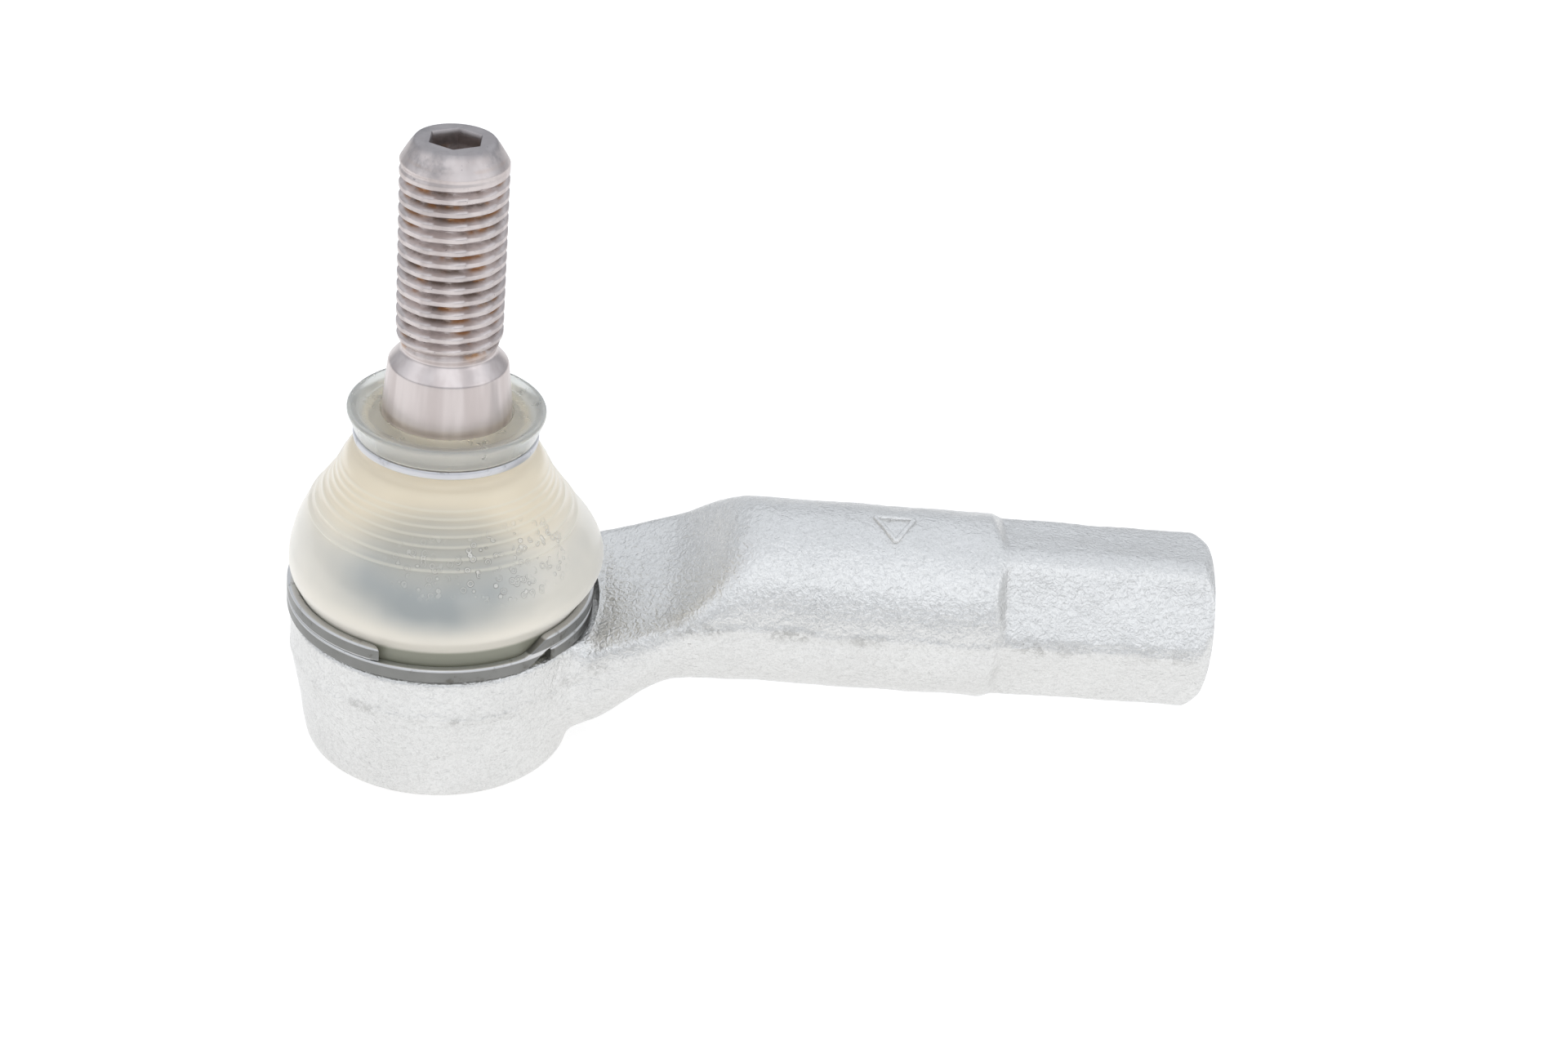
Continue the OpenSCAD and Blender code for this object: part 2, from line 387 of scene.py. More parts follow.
def on_shank(along, radius):
    """Grid of points round the shank's axis at a distance along it and a radius."""
    return np.stack(
        [
            along + 0 * radius,
            shank_y + radius * np.cos(arm_angle) + 0 * along,
            shank_z + radius * np.sin(arm_angle) + 0 * along,
        ],
        -1,
    )


# the end face, and a cap that closes the hidden end inside the head's wall
face = np.linspace(0.25, 0.85, 3)[:, None]
face_r = arm_r[-1] + (mouth_r + 0.1 - arm_r[-1]) * face
shrink = np.linspace(0.15, 0.9, 6)[:, None]
cap_y = shank_y + (y[0] - shank_y) * shrink
cap_z = z[0].mean() + (z[0] - z[0].mean()) * shrink
cap = np.stack([row_x(stations[0], cap_y), cap_y, cap_z], -1)
arm_grid = np.vstack(
    [cap, arm_grid, on_shank(shank_end + 0 * face, face_r), on_shank(bore_x, bore_r)]
)
housing = make_piece(
    "housing_forging", "housing",
    [shell(head_grid, ring=True), shell(arm_grid)], sharp=50,
)  # fmt: skip
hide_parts("housing")

# %% [markdown]
# A forging carries a raised mark that tells one side of the car from the other. Here it is
# a plain triangle outline: a bead that runs round three points and follows the shank.
# %% The die mark
mark_x, mark_angle, mark_size = 52.6, 98.0, 2.8
bead_half, bead_height = 0.34, 0.36


def die_mark():
    """Bead of round section along a rounded triangle, half sunk in the shank's cylinder."""
    corner = np.radians(np.array([90, 210, 330]))
    path = soft_profile(np.stack([np.cos(corner), np.sin(corner)], -1) * mark_size, 0.5, 0.2)
    ahead = np.roll(path, -1, axis=0) - np.roll(path, 1, axis=0)
    ahead /= np.linalg.norm(ahead, axis=1)[:, None]
    across = np.stack([ahead[:, 1], -ahead[:, 0]], -1)
    bead = np.arange(16) * TURN / 16
    u = path[:, 0, None] + across[:, 0, None] * bead_half * np.cos(bead)
    v = path[:, 1, None] + across[:, 1, None] * bead_half * np.cos(bead)
    r = shank_r + bead_height * np.sin(bead) + 0 * u
    angle = np.radians(mark_angle) + v / shank_r
    return np.stack(
        [mark_x + u, shank_y + r * np.cos(angle), shank_z + r * np.sin(angle)], -1
    )


mark = make_piece("die_mark", "housing", [shell(die_mark(), ring=True)])

# %% [markdown]
# ## The ball stud
# The stud is turned and its thread is rolled. Ball, neck, taper seat and thread are one
# lathe profile, and the thread and the hexagon socket are the two places where the radius
# also depends on the angle. A ready-made screw modifier would leave the thread's ends cut
# off; a formula lets it fade out above the seat and run off over the end's chamfer.
# %% The stud
stud_columns = 160
stud_angle = np.arange(stud_columns) * TURN / stud_columns
ball_z, ball_r, neck_r = 14.0, 11.0, 5.3
thread_low, stud_top = 51.2, 76.0
crest_r, thread_root, core_r = 5.98, 5.12, 5.3
ball_sweep = np.radians(np.linspace(-71, 61.2, 44))
ball = np.stack([ball_r * np.cos(ball_sweep), ball_z + ball_r * np.sin(ball_sweep)], -1)
seat = soft_profile(
    [(neck_r, 23.9), (neck_r, 34.6), (7.05, 37.3), (7.35, 37.6), (7.35, 44.2),
     (6.76, 49.4), (5.45, 50.9), (core_r, 51.2)], 0.22, 0.6, closed=False,
)  # fmt: skip
below = spin(np.vstack([[(0.9, 3.6), (2.4, 3.6)], ball, seat]), stud_columns)

rise = np.arange(thread_low + 0.15, stud_top, 0.15)[:, None]
groove_depth = crest_r - thread_root
wave = thread_root + groove_depth * thread_wave(rise - thread_low, stud_angle, crest=0.36)
# the groove starts below the nose, fades out above the seat, and the nose narrows the end
wave = crest_r + (wave - crest_r) * smooth_step(73.8, 71.6, rise)
thread_r = core_r + (wave - core_r) * smooth_step(51.0, 53.6, rise)
nose_r = 4.35 + 1.65 * np.clip((stud_top - rise) / 2.5, 0, None) ** 0.85
thread_r = np.minimum(thread_r, nose_r)


def round_stud(height, radius):
    """Grid of points round the stud axis; the radius may change with the angle."""
    height, radius = np.broadcast_arrays(height, radius)
    return np.stack([radius * np.cos(stud_angle), radius * np.sin(stud_angle), height], -1)


socket_half, socket_depth = 2.6, 6.0
to_flat = (stud_angle + np.pi / 6) % (np.pi / 3) - np.pi / 6
hexagon = socket_half / np.cos(to_flat)
top_r = np.array([4.2, 3.9, 3.5])[:, None] + 0 * stud_angle
lead_z = stud_top - np.array([0, 0.12, 0.5])[:, None]
lead_r = hexagon * np.array([1.06, 1.03, 1.0])[:, None]
deep_z = stud_top - np.array([0.8, 2, 4, socket_depth - 0.1, socket_depth])[:, None]
deep_r = hexagon * np.array([1, 1, 1, 1, 0.8])[:, None]
stud_grid = np.vstack(
    [
        below,
        round_stud(rise, thread_r),
        round_stud(stud_top + 0 * top_r[:, :1], top_r),
        round_stud(lead_z, lead_r),
        round_stud(deep_z, deep_r),
    ]
)
stud = make_piece("ball_stud_turned", "stud", [shell(stud_grid)], sharp=42)
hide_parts("ball_stud")

# %% [markdown]
# ## The boot
# The boot is a moulded bellows of clear, slightly milky elastomer. The fine ridges on its
# upper half are part of the outside's formula: small bell-shaped beads added to the
# radius at their heights.
# %% The boot's wall
boot_r, boot_wall = 18.4, 1.2
ridge_z = 31.0 + np.array([0, 1.05, 2.15, 3.1, 4.0, 4.8, 5.6])
ridge_h = np.array([0.26, 0.17, 0.17, 0.14, 0.14, 0.12, 0.10])
ridge_half = 0.16
sag = 0.6


def boot_side(inset):
    """Corners of the boot's side from the hem to the neck, moved inwards by inset."""
    r = boot_r - inset
    return [
        (r - 1.5, 21.5 + inset / 2), (r - 0.4, 23.2), (r - 0.1, 25.3), (r - 0.9, 27.7),
        (r - 2.4, 30), (r - 3.8, 32), (r - 5.4, 34.2 - inset / 2), (r - 6.3, 36 - inset / 2),
        (r - 7.2, 38 - inset / 2),
    ]  # fmt: skip


def leaning(grid):
    """Pushes the bulge a little towards the shank, as a soft boot sags; the hem stays put."""
    bulge = smooth_step(21.4, 25.5, grid[..., 2]) * smooth_step(31, 26, grid[..., 2])
    grid[..., 0] += sag * bulge
    return grid


boot_out = soft_profile(
    [(15.7, 17.5), (16.7, 17.6), (16.7, 21.1), *boot_side(0), (9.9, 38.7), (9.9, 40.6)],
    1.1, 0.2, closed=False,
)  # fmt: skip
bead = np.exp(-(((boot_out[:, 1, None] - ridge_z) / ridge_half) ** 2)) @ ridge_h
boot_out[:, 0] += bead
boot_in = soft_profile(
    [(9.2, 40.75), (8.65, 40.6), (8.65, 38.0), *boot_side(boot_wall)[::-1], (15.3, 21.2),
     (15.3, 17.6)], 0.8, 0.7, closed=False,
)  # fmt: skip
boot_grid = spin(np.vstack([boot_out, boot_in]), 168)
boot_grid = leaning(boot_grid)
boot = make_piece("boot_moulded", None, [shell(boot_grid, ring=True)])
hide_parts("boot")
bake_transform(boot)

# %% [markdown]
# Grease fills the boot and clings to its wall. A solid filling would hide the depth and
# get in the stud's way when it tilts, so the piece is a layer on the inside of the wall
# with a lumpy inner face.
# %% The grease
grease_gap, grease_depth = 0.3, 1.8
grease_out = soft_profile(boot_side(boot_wall + grease_gap)[1:7], 0.8, 0.5, closed=False)
grease_in = grease_out[::-1] - [grease_depth, 0.2]
grease_grid = spin(np.vstack([grease_out, grease_in]), 144)
lumps = 0.5 + 0.5 * np.clip(unevenness(grease_grid, 4.5, 6), -1, 1)
inner_rows = np.arange(len(grease_grid)) >= len(grease_out)
thicker = 1 - 0.09 * lumps * inner_rows[:, None]
grease_grid[..., :2] *= thicker[..., None]
grease_grid = leaning(grease_grid)
grease = make_piece("grease_layer", None, [shell(grease_grid, ring=True)], sharp=60)
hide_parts("grease_pack")
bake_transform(grease)

# %% [markdown]
# ## Collar and clamp rings
# The collar is a clear moulded flange that grips the boot's lip and slides round the stud.
# The upper clamp ring is a thin hoop under it. Both are simple spun profiles whose sheen
# depends on their rounded edges.
# %% The collar and the upper ring
collar_profile = soft_profile(
    [(7.43, 39), (8.6, 39), (8.6, 40.8), (10.4, 40.8), (10.75, 41.8), (11.3, 43.3),
     (11.2, 43.7), (10.8, 43.7), (10.2, 43.3), (9.2, 43.15), (7.43, 43.3)],
    0.22, 0.3,
)  # fmt: skip
collar = make_piece(
    "collar_moulded", "collar", [shell(spin(collar_profile), ring=True)]
)
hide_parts("boot_collar")
hoop_profile = soft_profile(
    [(9.93, 39.8), (10.5, 39.8), (10.58, 40.3), (10.5, 40.75), (9.93, 40.75)], 0.18, 0.3
)
hoop = make_piece(
    "upper_clamp_hoop", "collar", [shell(spin(hoop_profile), ring=True)]
)
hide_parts("upper_clamp_ring")

# %% [markdown]
# The lower clamp ring is flat spring wire wound almost twice round the hem. It is a small
# rounded section carried along a path: one level turn, a short ramp over its own start,
# then a second turn that stops short with an angled end.
# %% The lower clamp ring
wire_r, wire_w, wire_h = 17.35, 1.1, 1.7
wire_start, wire_ramp, wire_stop = 320.0, 666.0, 970.0
wire_z = 17.7 + wire_h / 2
sweep = np.radians(np.arange(wire_start, wire_stop + 0.1, 1.6))[:, None]
section = soft_profile(
    np.array([(-1, -1), (1, -1), (1, 1), (-1, 1)]) * [wire_w / 2, wire_h / 2], 0.32, 0.4
)
lift = (wire_h + 0.04) * smooth_step(wire_ramp, wire_ramp + 14, np.degrees(sweep))
# the ends are a little smaller, and the last one is cut at an angle
taper = np.ones_like(sweep)
taper[[0, -1]] = 0.86
ring_x = wire_r + section[:, 0] * taper
ring_z = wire_z + lift + section[:, 1] * taper
cut = np.zeros_like(ring_z)
cut[-1] = 0.05 * (section[:, 0] / wire_w + 0.5)
wire_grid = np.stack(
    [ring_x * np.cos(sweep + cut), ring_x * np.sin(sweep + cut), ring_z], -1
)
wire = make_piece("lower_clamp_wire", "housing", [shell(wire_grid)], sharp=45)
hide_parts("lower_clamp_ring")

# %% [markdown]
# ## Finishes
# A finish is a small network of nodes. Linking them by hand in the editor works for one
# material; a whole set of them reads better as formulas. `Wire` wraps a socket so that sums
# can be written as sums: each operator adds the Math node that does it.
# %% Sums of sockets


class Wire:
    """An output socket that can be used in sums."""

    def __init__(self, paint, socket):
        self.paint = paint
        self.socket = socket

    def math(self, operation, a, b=None):
        inputs = {0: a} if b is None else {0: a, 1: b}
        return self.paint.node("ShaderNodeMath", {"operation": operation}, inputs)

    def __add__(self, other):
        return self.math("ADD", self, other)

    def __radd__(self, other):
        return self.math("ADD", other, self)

    def __sub__(self, other):
        return self.math("SUBTRACT", self, other)

    def __rsub__(self, other):
        return self.math("SUBTRACT", other, self)

    def __mul__(self, other):
        return self.math("MULTIPLY", self, other)

    def __rmul__(self, other):
        return self.math("MULTIPLY", other, self)

    def __pow__(self, other):
        return self.math("POWER", self, other)

    def size(self):
        return self.math("ABSOLUTE", self)


# %% [markdown]
# `Paint` starts a material and adds nodes to it. Its patterns read Object coordinates, so
# they stay where they are on a piece when it moves. Heights, distances and pattern sizes
# are in millimetres here too, though the coordinates themselves are metres.
# %% A material and its patterns


class Paint:
    """A material with a Principled shader; constants are set by socket name."""

    def __init__(self, name, **constants):
        self.material = bpy.data.materials.new(name)
        self.material.use_nodes = True
        self.tree = self.material.node_tree
        self.shader = self.tree.nodes["Principled BSDF"]
        for socket, value in constants.items():
            self.feed(**{socket: value})
        self.place = self.node("ShaderNodeTexCoord", output="Object")

    def feed(self, **links):
        """Sets or links the Principled shader's sockets; Base_Color means Base Color."""
        for name, value in links.items():
            self.join(self.shader.inputs[name.replace("_", " ")], value)

    def join(self, socket, value):
        if isinstance(value, Wire):
            self.tree.links.new(value.socket, socket)
        elif isinstance(value, (tuple, list)) and socket.type == "RGBA":
            socket.default_value = (*value, 1.0)[:4]
        else:
            socket.default_value = value

    def node(self, kind, settings=None, inputs=None, output=0):
        """Adds a node: its settings first, then the values or links of its sockets."""
        node = self.tree.nodes.new(kind)
        for name, value in (settings or {}).items():
            if name == "stops":
                ramp = node.color_ramp
                while len(ramp.elements) < len(value):
                    ramp.elements.new(0.5)
                for element, (position, color) in zip(ramp.elements, value):
                    element.position = position
                    element.color = (*color, 1.0)
            else:
                setattr(node, name, value)
        for key, value in (inputs or {}).items():
            self.join(node.inputs[key], value)
        return Wire(self, node.outputs[output])

    def noise(self, size, detail=3.0, roughness=0.55, where=None, distortion=0.0):
        """Cloudy pattern from 0 to 1 whose blotches are about size millimetres wide."""
        return self.node(
            "ShaderNodeTexNoise",
            {"noise_dimensions": "3D"},
            {"Vector": where or self.place, "Scale": 1 / (size * MM), "Detail": detail,
             "Roughness": roughness, "Distortion": distortion},
        )  # fmt: skip

    def cells(self, size, where=None):
        """Distance to the nearest of many scattered points about size millimetres apart."""
        return self.node(
            "ShaderNodeTexVoronoi",
            {"feature": "F1"},
            {"Vector": where or self.place, "Scale": 1 / (size * MM)},
        )

    def between(self, value, low, high):
        """0 where value is at low, 1 at high, smooth in between."""
        return self.node(
            "ShaderNodeMapRange",
            {"interpolation_type": "SMOOTHSTEP"},
            {"Value": value, "From Min": low, "From Max": high},
        )

    def mix(self, share, a, b):
        """Colour a where share is 0 and b where it is 1."""
        return self.node("ShaderNodeMix", {"data_type": "RGBA"}, {0: share, 6: a, 7: b}, 2)

    def stretched(self, x, y, z):
        """Object coordinates with each axis multiplied, for grain that runs one way."""
        return self.node("ShaderNodeMapping", {}, {"Vector": self.place, "Scale": (x, y, z)})

    def axis(self, letter):
        """One of the object coordinates as a number, in millimetres."""
        return self.node("ShaderNodeSeparateXYZ", {}, {0: self.place}, letter) * (1 / MM)

    def near(self, x, y, z, far, close):
        """1 within close of a point and 0 beyond far; heights count twice, so it is flat."""
        place = self.stretched(1 / MM, 1 / MM, 2 / MM)
        inputs = {0: place, 1: (x, y, 2 * z)}
        away = self.node("ShaderNodeVectorMath", {"operation": "DISTANCE"}, inputs, 1)
        return self.between(away, far, close)

    def from_stud(self):
        """Distance from the stud axis, in millimetres."""
        x, y = self.axis("X"), self.axis("Y")
        return (x * x + y * y) ** 0.5

    def bump(self, height, depth, under=None):
        """Normal from a height pattern; depth is in millimetres."""
        inputs = {"Strength": 1.0, "Distance": depth * MM, "Height": height}
        if under is not None:
            inputs["Normal"] = under
        return self.node("ShaderNodeBump", {}, inputs)

    def onto(self, *objects):
        """Gives the finish to objects, in place of whatever they had."""
        for thing in objects:
            thing.data.materials.clear()
            thing.data.materials.append(self.material)
        print(self.material.name, len(self.tree.nodes), "nodes")


# %% [markdown]
# The forging is shot blasted and zinc plated: a light grey, silky metal with an
# orange-peel grain about a millimetre across and specks of dirt in its pits. The faces
# that were turned for the boot and the thread are smoother, with fine tool lines.
# %% Zinc plated forging


def zinc_forging():
    paint = Paint("zinc_forging", Metallic=0.85, IOR=1.5)
    radius = paint.from_stud()
    height = paint.axis("Z")
    top = paint.between(height, head_top - 0.2, head_top)
    top = top * paint.between(radius, head_r + 0.1, head_r - 0.1)
    turned = top + paint.between(radius, 13.6, 13.4)
    peel = paint.noise(0.80, 2.0, 0.5, distortion=1.2)
    fine = paint.noise(0.30, 2.0, 0.6, distortion=0.8)
    clouds = paint.noise(9.0, 4.0, 0.6)
    pits = paint.between(paint.noise(0.8, 4.0, 0.75, distortion=1.0), 0.65, 0.74)
    patches = paint.between(paint.noise(6.0, 3.0, 0.6), 0.42, 0.62)
    # the parting line: level on the head, climbing along the web, level on the shank
    climb = paint.between(paint.axis("X"), 12.5, 31)
    seam_z = parting_low + climb * (parting_high - parting_low)
    seam = paint.between((height - seam_z).size(), 1.6, 0.1)
    seam = seam * paint.between(paint.noise(1.1, 4.0, 0.75, distortion=1.0), 0.40, 0.62)
    dirt = pits * (0.3 + patches * 0.7) + seam * patches * 0.55
    grain = paint.between(paint.noise(0.45, 3.0, 0.7, distortion=1.5), 0.40, 0.70)
    tone = paint.mix(clouds, (0.69, 0.685, 0.67), (0.83, 0.825, 0.81))
    tone = paint.mix(grain * 0.32, tone, (0.36, 0.355, 0.34))
    tone = paint.mix(dirt * 0.7, tone, (0.17, 0.16, 0.14))
    lines = paint.noise(1.0, 2.0, 0.6, where=paint.stretched(0.4, 0.4, 9.0))
    paint.feed(
        Base_Color=tone,
        Roughness=0.28 + clouds * 0.09 + dirt * 0.3 - turned * 0.08,
        Normal=paint.bump(
            lines, 0.01, paint.bump(fine, 0.042, paint.bump(peel, 0.17))
        ),
    )
    return paint


zinc = zinc_forging()
zinc.onto(housing, mark)

# %% [markdown]
# The stud is bare steel, satin from turning on the seat. Oil and a first bloom of rust
# sit in the thread's grooves, so the stain is masked by the distance from the axis and
# broken up by noise.
# %% Stud steel


def stud_steel():
    paint = Paint("stud_steel", Metallic=1.0)
    radius = paint.from_stud()
    height = paint.axis("Z")
    thread = paint.between(height, thread_low, thread_low + 1)
    groove = paint.between(radius, 5.7, 5.2) * thread
    groove = groove * paint.between(height, 74.6, 74.0)
    stain = paint.between(paint.noise(3.2, 4.0, 0.65), 0.44, 0.64)
    rust = paint.between(paint.noise(4.5, 3.0, 0.6), 0.50, 0.62)
    specks = paint.between(paint.noise(0.6, 3.0, 0.7), 0.66, 0.74)
    grain = paint.noise(0.35, 3.0, 0.6, where=paint.stretched(1, 1, 0.35))
    streaks = paint.noise(2.4, 2.0, 0.6, where=paint.stretched(1, 1, 0.06))
    streaks = paint.between(streaks, 0.36, 0.64)
    tone = paint.mix(streaks, (0.55, 0.49, 0.475), (0.66, 0.60, 0.585))
    tone = paint.mix(stain * thread * 0.3, tone, (0.33, 0.30, 0.295))
    nose = paint.between(height, 73.3, 74.2)
    tone = paint.mix(nose * (0.20 + stain * 0.40), tone, (0.30, 0.285, 0.29))
    end = paint.between(height, 75.2, 75.9)
    tone = paint.mix(end * 0.55, tone, (0.28, 0.27, 0.28))
    tone = paint.mix(groove * stain * 0.65, tone, (0.24, 0.17, 0.13))
    tone = paint.mix(groove * rust * 0.75, tone, (0.50, 0.27, 0.11))
    tone = paint.mix(specks * thread * 0.6, tone, (0.20, 0.18, 0.19))
    paint.feed(
        Base_Color=tone,
        Roughness=0.27 + thread * 0.09 + groove * 0.22 + grain * 0.08,
        Normal=paint.bump(grain, 0.012),
    )
    return paint


steel = stud_steel()
steel.onto(stud)

# %% [markdown]
# The boot's elastomer lets light through but not a clear picture: rough transmission with
# a glossy coat. It is cream where the wall is thick and bluish in the middle, where grease
# lies against the wall. Patches of painted shade darken the front, the back and the upper
# middle, and thin painted highlights run along the ridges. The air bubbles in the grease
# show as small dimples.
# %% Boot elastomer and grease


def boot_elastomer():
    paint = Paint(
        "boot_elastomer", Transmission_Weight=0.28, IOR=1.4, Coat_Weight=0.6,
        Coat_Roughness=0.10, Sheen_Weight=1.0, Sheen_Roughness=0.4, Sheen_Tint=(1, 0.96, 0.88),
    )  # fmt: skip
    height = paint.axis("Z")
    top = paint.between(height, 29, 35)
    hem = paint.between(height, 21.4, 20.8)
    clouds = paint.noise(8.0, 2.0, 0.5)
    # cream, amber under the collar; bluish where the grease lies against the wall, and
    # bluish grey patches of painted shade on the front and the back
    tone = paint.mix(top, (1.0, 0.94, 0.82), (1.0, 0.885, 0.68))
    band = paint.between(height, 23.2, 26.2) * paint.between(height, 32.5, 28.5)
    # front and back: patches of painted shade, where the dark inside shows through the wall
    front = paint.near(0.5, -17.0, 30.0, 15.5, 6)
    back = paint.near(-6, 16, 28, 17, 4) * 0.6
    # the grease band together with the painted shade patches
    grease_and_painted_shade = (front + back) * 0.75 + band * clouds * 0.45
    tone = paint.mix(grease_and_painted_shade * (0.8 + clouds * 0.4), tone, (0.46, 0.485, 0.475))
    # painted shade: the upper middle of the front is darker and browner than the rims
    upper_painted_shade = paint.near(0.5, -13.5, 33, 11, 4) * (0.5 + clouds)
    tone = paint.mix(upper_painted_shade * 0.55, tone, (0.55, 0.52, 0.44))
    # the hem in the gap under the bulge is painted dark olive: dirt with painted shade
    tone = paint.mix(hem * 0.85, tone, (0.20, 0.21, 0.14))
    # painted highlights: thin light cream lines along the ridges
    ridge_highlights = None
    for z in ridge_z:
        off = (height - float(z)).size()
        line = paint.between(off, 0.20, 0.06)
        ridge_highlights = line if ridge_highlights is None else ridge_highlights + line
    tone = paint.mix(ridge_highlights * 0.4, tone, (1.0, 0.95, 0.80))
    # air bubbles show as rings, where the grease has them
    spot = paint.cells(0.9)
    rings = paint.between(spot, 0.22, 0.28) * paint.between(spot, 0.46, 0.38)
    where = paint.near(9.5, -12, 31, 9, 5.5) + paint.near(1, -14.5, 31, 7.5, 4) * 0.6
    where = where * paint.between(paint.noise(2.5, 2.0), 0.40, 0.55)
    tone = paint.mix(rings * where * 0.55, tone, (0.98, 0.95, 0.88))
    paint.feed(
        Base_Color=tone,
        Roughness=0.32 + clouds * 0.12,
        Normal=paint.bump(rings * where, 0.16),
    )
    return paint


def amber_grease():
    paint = Paint("grease", Transmission_Weight=0.5, IOR=1.45)
    clouds = paint.noise(3.0, 4.0, 0.6)
    bubbles = paint.between(paint.cells(0.9), 0.3, 0.5)
    tone = paint.mix(clouds, (0.93, 0.86, 0.66), (0.80, 0.86, 0.86))
    paint.feed(
        Base_Color=tone,
        Roughness=0.22 + clouds * 0.2,
        Normal=paint.bump(bubbles + clouds, 0.2),
    )
    return paint


elastomer = boot_elastomer()
elastomer.onto(boot)
amber = amber_grease()
amber.onto(grease)

# %% [markdown]
# The collar is clear plastic, faintly green like thick glass, with an amber film of grease
# near the stud. The hoop is bright, the wound wire dull grey with a little dirt, and both
# have painted highlights along their rounded edges.
# %% Collar plastic and ring steels


def collar_plastic():
    paint = Paint("collar_plastic", Transmission_Weight=0.7, IOR=1.42, Coat_Weight=0.3)
    radius = paint.from_stud()
    film = paint.between(radius, 11.0, 8.6)
    smudge = paint.between(paint.noise(2.2, 4.0, 0.65), 0.60, 0.72)
    tone = paint.mix(film * 0.8, (0.94, 0.96, 0.94), (0.97, 0.88, 0.68))
    tone = paint.mix(smudge * 0.5, tone, (0.35, 0.34, 0.32))
    paint.feed(
        Base_Color=tone,
        Roughness=0.20 + smudge * 0.2,
        Normal=paint.bump(paint.noise(1.6, 2.0), 0.015),
    )
    return paint


def ring_steel(name, light, dark, rough, dirt_share, highlit_edges):
    """Steel with a drawn grain; the heights in highlit_edges (mm) are edges with painted
    highlights.
    """
    paint = Paint(name, Metallic=1.0)
    height = paint.axis("Z")
    drawn = paint.noise(0.5, 3.0, 0.6, where=paint.stretched(0.5, 0.5, 5.0))
    dirt = paint.between(paint.noise(2.0, 4.0, 0.7), 0.56, 0.68) * dirt_share
    tone = paint.mix(paint.noise(4.0, 3.0), light, dark)
    # painted highlights: light grey lines along the rounded edges at these heights
    for edge in highlit_edges:
        near = paint.between((height - edge).size(), 0.22, 0.08)
        tone = paint.mix(near * 0.8, tone, (0.72, 0.72, 0.72))
    tone = paint.mix(dirt, tone, (0.10, 0.09, 0.07))
    paint.feed(
        Base_Color=tone,
        Roughness=rough + drawn * 0.12 + dirt * 0.3,
        Normal=paint.bump(drawn, 0.012),
    )
    return paint


clear = collar_plastic()
clear.onto(collar)
bright = ring_steel("ring_steel", (0.66, 0.66, 0.68), (0.54, 0.54, 0.57), 0.28, 0.3, [39.9])
bright.onto(hoop)
dull = ring_steel(
    "wire_steel", (0.27, 0.27, 0.26), (0.18, 0.18, 0.17), 0.30, 0.45, [19.3, 19.55, 21.05]
)
dull.onto(wire)

# %% [markdown]
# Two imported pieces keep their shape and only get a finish: the pressed plate that closes
# the underside, with spun rings and a little rust, and the moulded shell round the ball.
# %% Closing plate and bearing shell


def plate_steel():
    paint = Paint("plate_steel", Metallic=1.0)
    radius = paint.from_stud()
    rings = paint.node("ShaderNodeMath", {"operation": "SINE"}, {0: radius * 9})
    rust = paint.between(paint.noise(3.5, 4.0, 0.65), 0.58, 0.70)
    tone = paint.mix(paint.noise(6.0, 3.0), (0.50, 0.51, 0.53), (0.68, 0.69, 0.71))
    tone = paint.mix(rust * 0.5, tone, (0.30, 0.20, 0.13))
    paint.feed(
        Base_Color=tone,
        Roughness=0.32 + rust * 0.3,
        Normal=paint.bump(rings, 0.012),
    )
    return paint


def acetal():
    paint = Paint("acetal", IOR=1.48)
    tone = paint.mix(paint.noise(8.0, 2.0), (0.88, 0.87, 0.80), (0.80, 0.78, 0.70))
    paint.feed(
        Base_Color=tone,
        Roughness=0.30 + paint.noise(2.0) * 0.15,
        Normal=paint.bump(paint.noise(0.8), 0.02),
    )
    return paint


pressed = plate_steel()
pressed.onto(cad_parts["closing_plate"])
moulded = acetal()
moulded.onto(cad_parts["bearing_shell"])

# %% [markdown]
# ## Floor, light and camera
# The part stands on its head on a glowing white floor, as on a light table, so its
# undersides are bright and it hardly throws a shadow. A lamp from above alone would leave
# them black. The floor lies a hair below the part, so that the two faces don't fight.
# %% Floor
floor_half = 3.0
floor_corners = np.array([(-1, -1, 0), (1, -1, 0), (1, 1, 0), (-1, 1, 0)]) * floor_half
floor_corners[:, 2] = -0.05 * MM
floor_mesh = bpy.data.meshes.new("floor")
floor_mesh.from_pydata(floor_corners.tolist(), [], [(0, 1, 2, 3)])
floor = bpy.data.objects.new("floor", floor_mesh)
bpy.context.scene.collection.objects.link(floor)
table = Paint("floor_white", Base_Color=(0.4, 0.4, 0.4), Roughness=0.9, Emission_Strength=0.74)
glow = table.mix(table.noise(400.0), (1.0, 1.0, 1.0), (1.0, 0.995, 0.985))
table.feed(Emission_Color=glow)
table.onto(floor)

# %% [markdown]
# Metal looks like what it reflects, so the room matters more than the lamps. It is grey at
# the horizon and bright and slightly blue above, which shades the round shank from light
# to dark. Three weak, large lamps add soft highlights from the front and from both sides.
# %% Room and lamps
horizon_grey = (0.34, 0.355, 0.38, 1.0)
ceiling_white = (0.90, 0.94, 1.0, 1.0)
world = bpy.data.worlds.new("room")
bpy.context.scene.world = world
world.use_nodes = True
room = world.node_tree.nodes["Background"]
room.inputs["Strength"].default_value = 1.0
direction = world.node_tree.nodes.new("ShaderNodeTexCoord")
split = world.node_tree.nodes.new("ShaderNodeSeparateXYZ")
walls = world.node_tree.nodes.new("ShaderNodeValToRGB")
walls.color_ramp.elements[0].color = horizon_grey
walls.color_ramp.elements[1].color = ceiling_white
walls.color_ramp.elements[1].position = 0.5
world.node_tree.links.new(direction.outputs["Generated"], split.inputs[0])
world.node_tree.links.new(split.outputs["Z"], walls.inputs[0])
world.node_tree.links.new(walls.outputs[0], room.inputs["Color"])


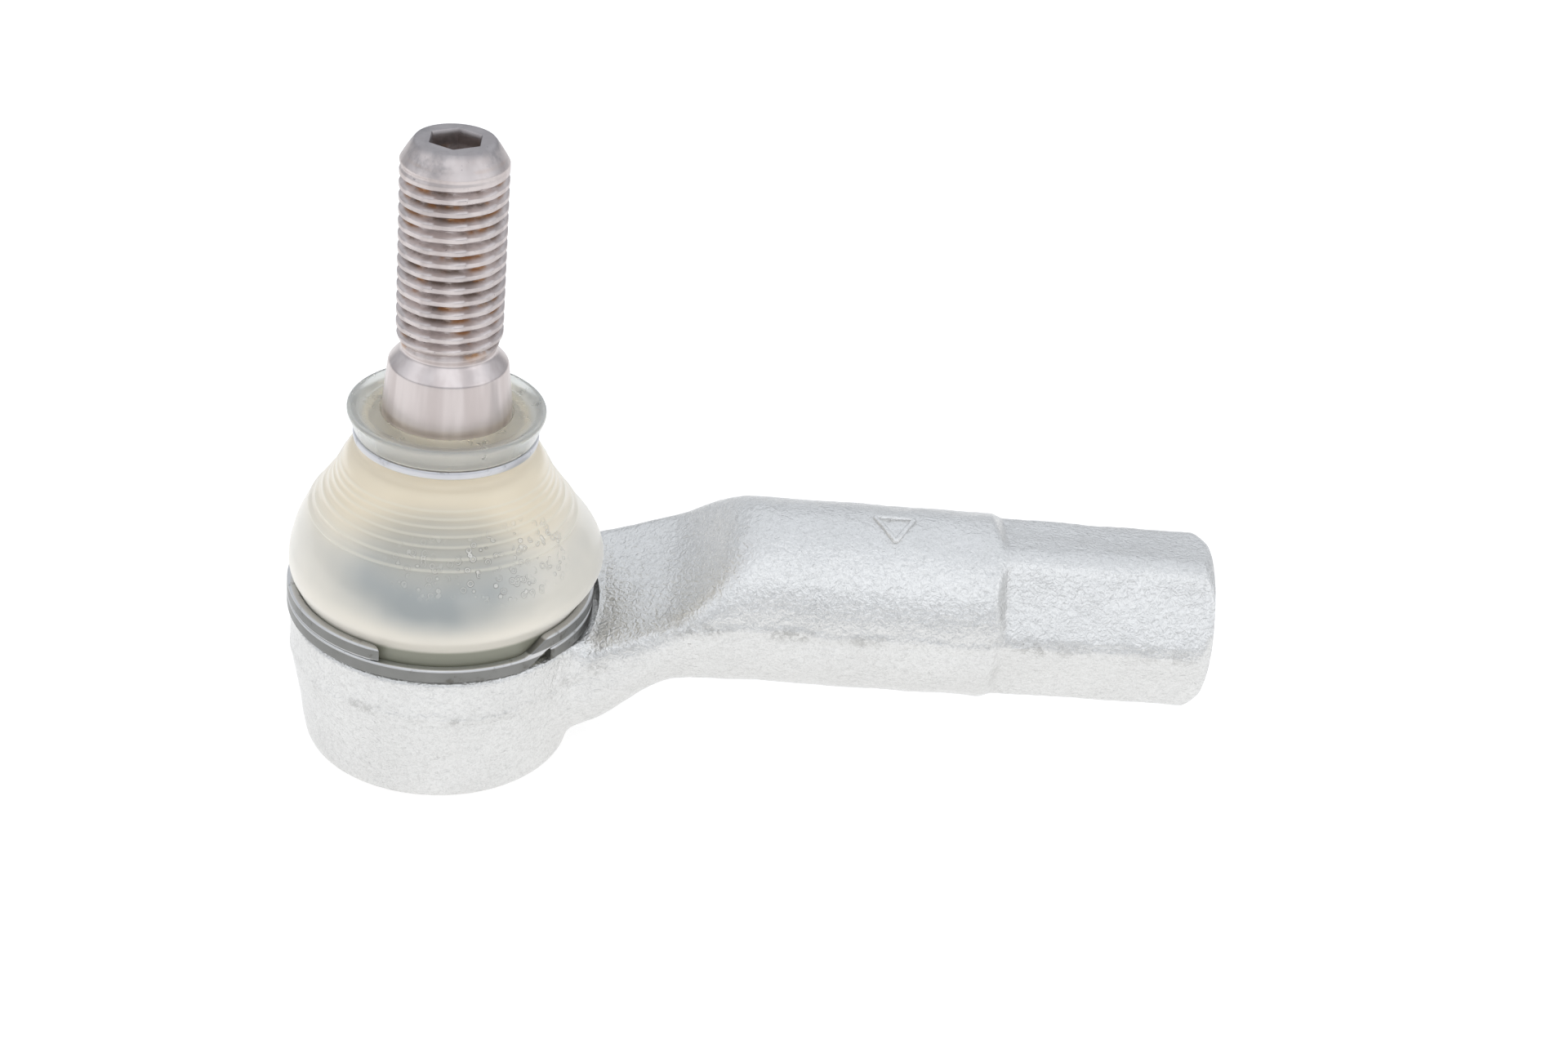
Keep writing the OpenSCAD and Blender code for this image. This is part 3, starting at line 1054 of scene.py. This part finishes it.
def soft_lamp(name, place, size, power):
    """A square lamp that faces the middle of the part."""
    lamp = bpy.data.lights.new(name, "AREA")
    lamp.size, lamp.energy = size, power
    holder = bpy.data.objects.new(name, lamp)
    bpy.context.scene.collection.objects.link(holder)
    holder.location = place
    aim = np.array([0.03, 0, 0.03]) - np.array(place)
    holder.rotation_mode = "QUATERNION"
    holder.rotation_quaternion = Vector(aim).to_track_quat("-Z", "Y")


soft_lamp("front_soft", (0.06, -0.50, 0.62), size=0.62, power=0.5)
soft_lamp("left_fill", (-0.7, -0.3, 0.45), size=0.5, power=0.3)
soft_lamp("right_fill", (0.7, -0.25, 0.40), size=0.5, power=0.45)
print("lamps:", [thing.name for thing in bpy.data.lights])

# %% [markdown]
# The camera stands in front of the part, 30 degrees up, and is rolled a little because the
# real part rests tilted on its head and its shank. Its place is given by how far the view's
# centre lies to the right of the origin and above it, and by the distance.
# %% Camera
view_turn, view_down, view_roll = np.radians([-4.0, 30.0, 6.18])
view_right, view_up, view_distance = 42.22, 24.30, 317.9


def camera_axes():
    """Right, up and forward of the camera as unit vectors in the frame."""
    cos_t, sin_t = np.cos(view_turn), np.sin(view_turn)
    level = np.array([cos_t, sin_t, 0])
    ahead = np.array([-sin_t, cos_t, 0])
    forward = np.cos(view_down) * ahead - np.sin(view_down) * np.array([0, 0, 1])
    upright = np.cross(level, forward)
    right = np.cos(view_roll) * level + np.sin(view_roll) * upright
    up = -np.sin(view_roll) * level + np.cos(view_roll) * upright
    return right, up, forward


right, up, forward = camera_axes()
eye = (view_right * right + view_up * up - view_distance * forward) * MM
camera_data = bpy.data.cameras.new("camera")
camera_data.lens = 60
camera_data.sensor_width = 36
camera_data.clip_start = 0.01
camera = bpy.data.objects.new("camera", camera_data)
bpy.context.scene.collection.objects.link(camera)
pose = np.eye(4)
pose[:3, 0], pose[:3, 1], pose[:3, 2], pose[:3, 3] = right, up, -forward, eye
camera.matrix_world = Matrix(pose.tolist())
bpy.context.scene.camera = camera
bpy.context.scene.view_settings.view_transform = "Standard"
print("camera at", np.round(eye, 3))
